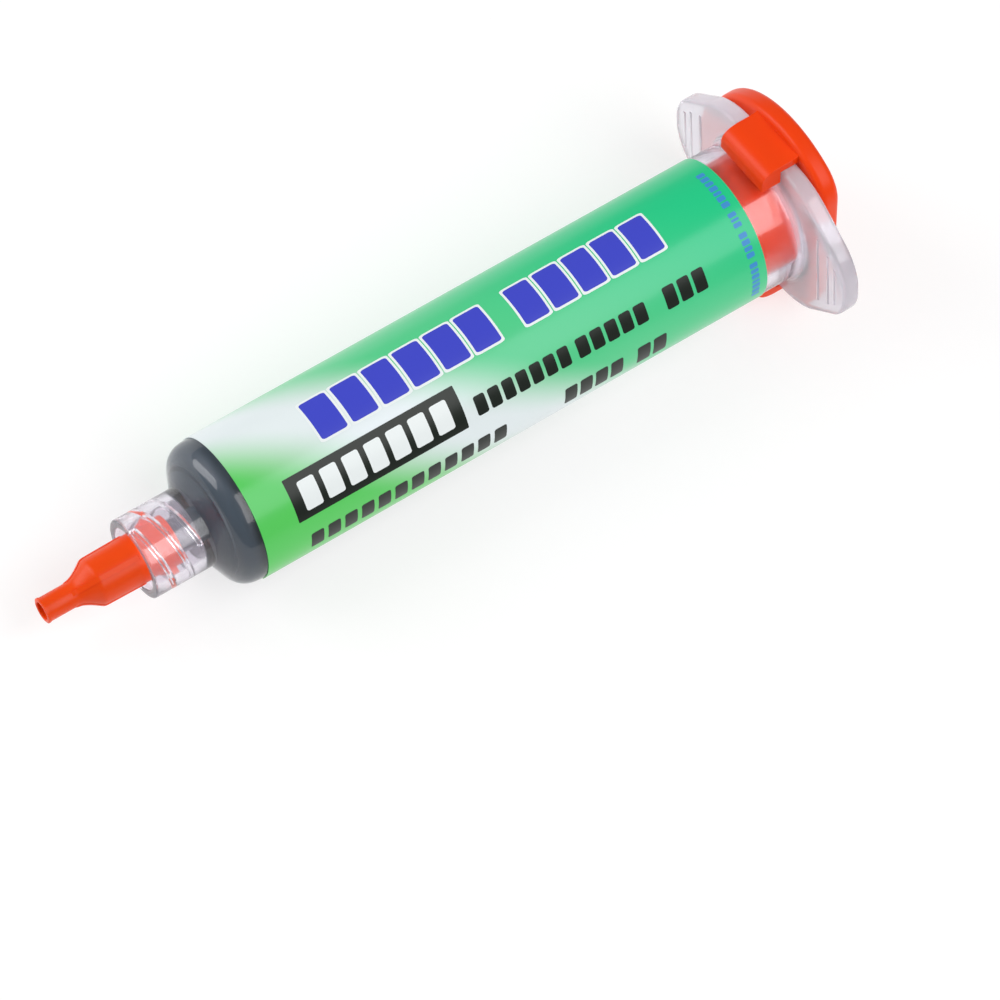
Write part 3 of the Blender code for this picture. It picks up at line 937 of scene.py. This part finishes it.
def cap_plug():
    """The hollow plug that closes the bore."""
    size = sizes()
    root = cap_seat() + size.cap_thickness / 2
    front = size.barrel_length - size.plug_depth
    wall = 1.2 * MM
    chamfer = 0.5 * MM
    profile = [
        (root, size.plug_radius - wall),
        (front, size.plug_radius - wall),
        (front, size.plug_radius - chamfer),
        (front + chamfer, size.plug_radius),
        (root, size.plug_radius),
    ]
    return turned(profile, closed=True)


class SYRINGE_OT_end_cap(bpy.types.Operator):
    """Makes the orange end cap with its hooks and plug"""

    bl_idname = "syringe.end_cap"
    bl_label = "End Cap"

    def execute(self, context):
        material = orange_polyethylene("orange_polyethylene_cap", colours().cap_orange, 0.34)
        # The cap sits a little turned on the flange.
        body = about_axis(carved(cap_disc(), (cap_hooks(), cap_plug())), CAP_TURN)
        finish_piece("hooked_end_cap", body, material, "end_cap", "end_cap")
        return {"FINISHED"}


def tip_outline():
    """The tip cap's outside, from its hollow nose back to its socket end."""
    size = sizes()
    nose = -size.tip_length
    flare = nose + size.tip_nose_length
    body = flare + size.tip_flare
    small, large = size.tip_nose_radius, size.tip_body_radius
    rim = 0.08 * MM
    bend = (body - 0.19 * size.tip_flare, large - 0.18 * MM)
    points = [
        (nose, small - rim),
        (nose + rim, small + rim),
        (nose + 4 * rim, small + rim),
        (nose + 6 * rim, small),
    ]
    # The flare leaves the nose in a long bend and meets the body in a short one.
    points += rounding((flare, small), (flare + 0.26 * size.tip_flare, small), bend)
    points += rounding(bend, (body - 0.1 * size.tip_flare, large), (body, large))[1:]
    points.append((size.tip_insertion, large + 0.15 * MM))
    return points


def tip_body():
    """The tip cap turned with its blind nose hole and its socket for the luer cone."""
    size = sizes()
    nose = -size.tip_length
    hole_end = nose + 2.6 * MM
    hole = 1.15 * MM
    lip = 0.1 * MM
    socket_end = -size.luer_reach - 1.2 * MM
    profile = [(hole_end, 0.0), (hole_end, hole), (nose + lip, hole), (nose, hole + lip)]
    profile += tip_outline()
    profile += [
        (size.tip_insertion, luer_cone(size.tip_insertion, TIP_GAP)),
        (socket_end, luer_cone(socket_end, TIP_GAP)),
        (socket_end, 0.0),
    ]
    return turned(profile)


def tip_ribs():
    """Four fine ribs down the tip cap's flare and body, up to the collar."""
    size = sizes()
    start = -size.tip_length + size.tip_nose_length
    flare_end = start + size.tip_flare
    rise = 0.11 * MM
    half = 0.3 * MM
    flare_root = 1.3 * MM
    body_root = size.tip_body_radius - 2 * rise
    over = [(start - 3 * rise, size.tip_nose_radius)]
    over += [(x, radius + rise) for x, radius in tip_outline() if start <= x <= 0.0]
    end_radius = over[-1][1] + 0.07 * MM
    over += [(-rise, end_radius), (0.0, end_radius - rise)]
    under = [(0.0, body_root), (flare_end, body_root), (flare_end, flare_root), (over[0][0], flare_root)]
    ribs = []
    for index in range(4):
        rib = extruded([(x, -half, reach) for x, reach in over + under], (0.0, 2 * half, 0.0))
        ribs.append(about_axis(rib, NEAR_ANGLE + 2.0 + 90.0 * index))
    return ribs


def tip_lugs():
    """Two lugs on the tip cap that catch the collar's thread."""
    size = sizes()
    half = 1.3 * MM
    chamfer = 0.3 * MM
    root = 2.8 * MM
    reach = math.sqrt((size.collar_bore - TIP_GAP) ** 2 - half**2)
    back = size.tip_insertion - 1.2 * MM
    front = back - 1.3 * MM
    outline = [
        (front, -half, root),
        (front, -half, reach - chamfer),
        (front + chamfer, -half, reach),
        (back, -half, reach),
        (back, -half, root),
    ]
    lugs = []
    for index in range(2):
        lug = extruded(outline, (0.0, 2 * half, 0.0))
        lugs.append(about_axis(lug, NEAR_ANGLE + 92.0 + 180.0 * index))
    return lugs


class SYRINGE_OT_tip_cap(bpy.types.Operator):
    """Makes the orange tip cap with its hollow nose, ribs and lugs"""

    bl_idname = "syringe.tip_cap"
    bl_label = "Tip Cap"

    def execute(self, context):
        material = orange_polyethylene("orange_polyethylene_tip", colours().tip_orange, 0.32)
        body = carved(tip_body(), tip_ribs() + tip_lugs())
        finish_piece("ribbed_tip_cap", body, material, "tip_cap", "tip_cap")
        return {"FINISHED"}


def film_radius():
    """The label's outside."""
    size = sizes()
    return size.bore_radius + size.wall + LABEL_GAP + size.label_thickness


def write_label_uv(body):
    """Keeps each place on the film as millimetres along and degrees from the top."""
    layer = body.loops.layers.uv.new("label_mm_degrees")
    past_edge = LABEL_EDGE + 1.0
    for face in body.faces:
        for loop in face.loops:
            place = loop.vert.co
            angle = math.degrees(math.atan2(-place.y, place.z))
            if angle > past_edge:
                angle -= 360.0
            loop[layer].uv = (place.x / MM, angle)


class SYRINGE_OT_label(bpy.types.Operator):
    """Makes the printed film round the barrel, with a clear strip left underneath"""

    bl_idname = "syringe.label"
    bl_label = "Printed Label"

    def execute(self, context):
        size = sizes()
        outer = film_radius()
        inner = outer - size.label_thickness
        film = bmesh.new()
        corners = [
            (size.label_front, inner),
            (size.label_front, outer),
            (size.label_back, outer),
            (size.label_back, inner),
        ]
        turn = Matrix.Rotation(math.radians(LABEL_EDGE), 3, "X")
        verts = [film.verts.new(turn @ Vector((x, 0.0, radius))) for x, radius in corners]
        face = film.faces.new(verts)
        sweep = 360.0 - LABEL_WINDOW
        bmesh.ops.spin(
            film,
            geom=verts + list(face.edges) + [face],
            axis=(-1.0, 0.0, 0.0),
            cent=(0.0, 0.0, 0.0),
            angle=math.radians(sweep),
            steps=round(ROUND_STEPS * sweep / 360.0),
        )
        faced_out(film)
        write_label_uv(film)
        finish_piece("label_film", film, printed_film(), "barrel", "label")
        return {"FINISHED"}


def ink_block(x_low, x_high, angle_low, angle_high, lift, corner):
    """A rounded block of ink wrapped on the film, in millimetres and degrees down from the near side."""
    radius = film_radius() + lift * MM
    scale = math.radians(1.0) * radius
    low, high = angle_low * scale, angle_high * scale
    degrees_a_row = 2.0
    rows = max(2, math.ceil((angle_high - angle_low) / degrees_a_row))
    block = bmesh.new()
    grown = bmesh.ops.create_grid(block, x_segments=2, y_segments=rows, size=0.5)
    bmesh.ops.scale(block, vec=((x_high - x_low) * MM, high - low, 1.0), verts=grown["verts"])
    middle = ((x_low + x_high) / 2 * MM, (low + high) / 2, 0.0)
    bmesh.ops.translate(block, vec=middle, verts=grown["verts"])
    tips = [v for v in block.verts if len(v.link_edges) == 2]
    bmesh.ops.bevel(
        block, geom=tips, offset=corner * MM, segments=4, profile=0.5, affect="VERTICES", material=-1
    )
    for vert in block.verts:
        angle = math.radians(NEAR_ANGLE) + vert.co.y / radius
        vert.co = Vector((vert.co.x, -radius * math.sin(angle), radius * math.cos(angle)))
    bmesh.ops.recalc_face_normals(block, faces=block.faces)
    return block


def outward(body):
    """Turns each sheet face away from the axis."""
    turned_in = []
    for face in body.faces:
        middle = face.calc_center_median()
        if face.normal.dot(Vector((0.0, middle.y, middle.z))) < 0.0:
            turned_in.append(face)
    bmesh.ops.reverse_faces(body, faces=turned_in)
    return body


def word(x_low, x_high, count, angle_low, angle_high, lift, gap, corner):
    """A row of plain blocks that stands where the real print has a word."""
    pitch = (x_high - x_low + gap) / count
    row = []
    for index in range(count):
        left = x_low + index * pitch
        row.append(ink_block(left, left + pitch - gap, angle_low, angle_high, lift, corner))
    return row


class SYRINGE_OT_print(bpy.types.Operator):
    """Makes the plain blocks that stand for the label's print"""

    bl_idname = "syringe.print"
    bl_label = "Label Print"

    def execute(self, context):
        tints = colours()
        white_ink = ink("white_ink", tints.ink_white)
        # Each word: its start and end in millimetres, how many blocks, its upper and lower angle
        # in degrees, then how far it stands off, the gap and the corner in millimetres
        layers = {
            "title_outlines": (
                white_ink,
                word(24.1, 50.0, 6, -41.5, -4.8, INK_LIFT, 0.15, 0.7)
                + word(52.9, 73.5, 5, -41.5, -4.8, INK_LIFT, 0.15, 0.7),
            ),
            "title_blocks": (
                ink("blue_ink", tints.title_blue),
                word(24.4, 49.7, 6, -39.7, -6.6, TOP_INK_LIFT, 0.75, 0.5)
                + word(53.2, 73.2, 5, -39.7, -6.6, TOP_INK_LIFT, 0.75, 0.5),
            ),
            "black_panel": (
                ink("black_ink", tints.ink_black),
                [ink_block(17.55, 41.4, 4.4, 39.3, INK_LIFT, 0.12)],
            ),
            "panel_blocks": (white_ink, word(19.0, 39.8, 7, 10.2, 33.6, TOP_INK_LIFT, 0.8, 0.35)),
            "black_lines": (
                ink("black_line_ink", tints.ink_black),
                word(43.0, 56.4, 7, 19.5, 35.3, INK_LIFT, 0.45, 0.3)
                + word(57.5, 67.5, 5, 19.5, 35.3, INK_LIFT, 0.45, 0.3)
                + word(70.2, 76.1, 3, 18.0, 36.2, INK_LIFT, 0.45, 0.3)
                + word(18.7, 46.3, 12, 55.0, 72.8, INK_LIFT, 0.6, 0.3)
                + word(54.7, 63.1, 4, 54.5, 74.0, INK_LIFT, 0.45, 0.3)
                + word(65.2, 69.4, 2, 54.5, 75.0, INK_LIFT, 0.45, 0.3),
            ),
            "edge_marks": (ink("pale_blue_ink", tints.mark_blue), edge_marks()),
        }
        for name, (material, blocks) in layers.items():
            body = outward(joined(blocks))
            finish_piece(name, body, material, "barrel", None)
        return {"FINISHED"}


def edge_marks():
    """A line of small marks round the film near its back edge."""
    start, end = 82.0, 83.1
    unit, space = 0.72, 1.3
    angle = -46.0
    marks = []
    # Each mark's width in units of 0.72 degrees, with none where a word ends
    for width in (6, 6, 5, 6, 4, 6, 6, 0, 5, 3, 5, 0, 6, 6, 5, 6, 0, 6, 5, 6, 4, 6, 6, 5):
        if width:
            marks.append(ink_block(start, end, angle, angle + width * unit, INK_LIFT, 0.15))
        angle += (width or 3) * unit + space
    return marks


class SYRINGE_OT_stage(bpy.types.Operator):
    """Makes the pale floor, the soft lights and the camera"""

    bl_idname = "syringe.stage"
    bl_label = "Stage"

    def execute(self, context):
        scene = context.scene
        scene.view_settings.view_transform = "Standard"
        self.floor()
        self.world(scene)
        # Each light: its name, direction in the syringe's own frame, distance and sizes across
        # and along in metres, and watts
        lights = (
            ("near_softbox", (0.310, -0.700, 0.6435), 0.5, 0.42, 0.34, 1.6),
            ("back_softbox", (-0.589, 0.466, 0.66), 0.5, 0.50, 0.25, 1.5),
        )
        for name, direction, distance, across, along, power in lights:
            turned_to = LAY.to_3x3() @ Vector(direction).normalized()
            self.softbox(name, turned_to, distance, across, along, power)
        self.camera(scene)
        return {"FINISHED"}

    def floor(self):
        half_width = 3.0
        body = bmesh.new()
        bmesh.ops.create_grid(body, x_segments=2, y_segments=2, size=half_width)
        mesh = mesh_of(body, "pale_floor")
        floor = linked("pale_floor", mesh)
        # Opal acrylic over a light box, as for product photos: white, with faint shadows.
        material, _, _ = new_material(
            "lit_opal_acrylic",
            Base_Color=(0.42, 0.42, 0.42, 1.0),
            Roughness=0.9,
            Specular_IOR_Level=0.1,
            Emission_Color=(1.0, 1.0, 1.0, 1.0),
            Emission_Strength=0.62,
        )
        mesh.materials.append(material)

    def world(self, scene):
        # The white room round the light box, which fills the shadows.
        world = bpy.data.worlds.new("studio_white")
        world.use_nodes = True
        background = world.node_tree.nodes["Background"]
        background.inputs["Color"].default_value = (1.0, 1.0, 1.0, 1.0)
        background.inputs["Strength"].default_value = 0.32
        scene.world = world

    def softbox(self, name, direction, distance, across, along, power):
        light = bpy.data.lights.new(name, "AREA")
        light.shape = "RECTANGLE"
        light.size = along
        light.size_y = across
        light.energy = power
        lamp = linked(name, light)
        centre = Vector((0.0, 0.0, 0.01))
        lamp.location = centre + direction * distance
        facing = direction.normalized()
        along_axis = (AXIS - facing * AXIS.dot(facing)).normalized()
        across_axis = facing.cross(along_axis)
        turn = Matrix((along_axis, across_axis, facing)).transposed()
        lamp.rotation_euler = turn.to_euler()

    def camera(self, scene):
        lens = bpy.data.cameras.new("camera")
        lens.sensor_width = 36.0
        lens.lens = 215.47
        lens.clip_start = 0.01
        lens.clip_end = 20.0
        camera = linked("camera", lens)
        # Place, right, up and back of the photo's camera, in the syringe's own frame
        place = Vector((-177.66, -378.28, 559.19)) * MM
        right = Vector((0.82499, -0.56353, -0.04274))
        upward = Vector((0.47236, 0.64606, 0.59957))
        back = Vector((-0.31026, -0.51482, 0.79918))
        turn = LAY.to_3x3() @ Matrix((right, upward, back)).transposed()
        camera.location = LAY @ place
        camera.rotation_euler = turn.to_euler()
        scene.camera = camera


OPERATORS = (
    SYRINGE_OT_barrel,
    SYRINGE_OT_paste,
    SYRINGE_OT_piston,
    SYRINGE_OT_end_cap,
    SYRINGE_OT_tip_cap,
    SYRINGE_OT_label,
    SYRINGE_OT_print,
    SYRINGE_OT_stage,
)


class SYRINGE_PT_panel(bpy.types.Panel):
    """Lists the syringe's pieces, sizes and colours"""

    bl_idname = "SYRINGE_PT_panel"
    bl_label = "Solder Paste Syringe"
    bl_space_type = "VIEW_3D"
    bl_region_type = "UI"
    bl_category = "Syringe"

    def draw(self, context):
        column = self.layout.column(align=True)
        for operator in OPERATORS:
            column.operator(operator.bl_idname)
        for group in (context.scene.syringe_sizes, context.scene.syringe_colours):
            box = self.layout.box()
            for key in group.bl_rna.properties.keys():
                if key not in ("rna_type", "name"):
                    box.prop(group, key)


CLASSES = (SyringeSizes, SyringeColours, *OPERATORS, SYRINGE_PT_panel)


def register():
    for item in CLASSES:
        bpy.utils.register_class(item)
    bpy.types.Scene.syringe_sizes = bpy.props.PointerProperty(type=SyringeSizes)
    bpy.types.Scene.syringe_colours = bpy.props.PointerProperty(type=SyringeColours)


def unregister():
    del bpy.types.Scene.syringe_colours
    del bpy.types.Scene.syringe_sizes
    for item in reversed(CLASSES):
        bpy.utils.unregister_class(item)


def main():
    register()
    bpy.ops.syringe.barrel()
    bpy.ops.syringe.paste()
    bpy.ops.syringe.piston()
    bpy.ops.syringe.end_cap()
    bpy.ops.syringe.tip_cap()
    bpy.ops.syringe.label()
    bpy.ops.syringe.print()
    bpy.ops.syringe.stage()


if __name__ == "__main__":
    main()
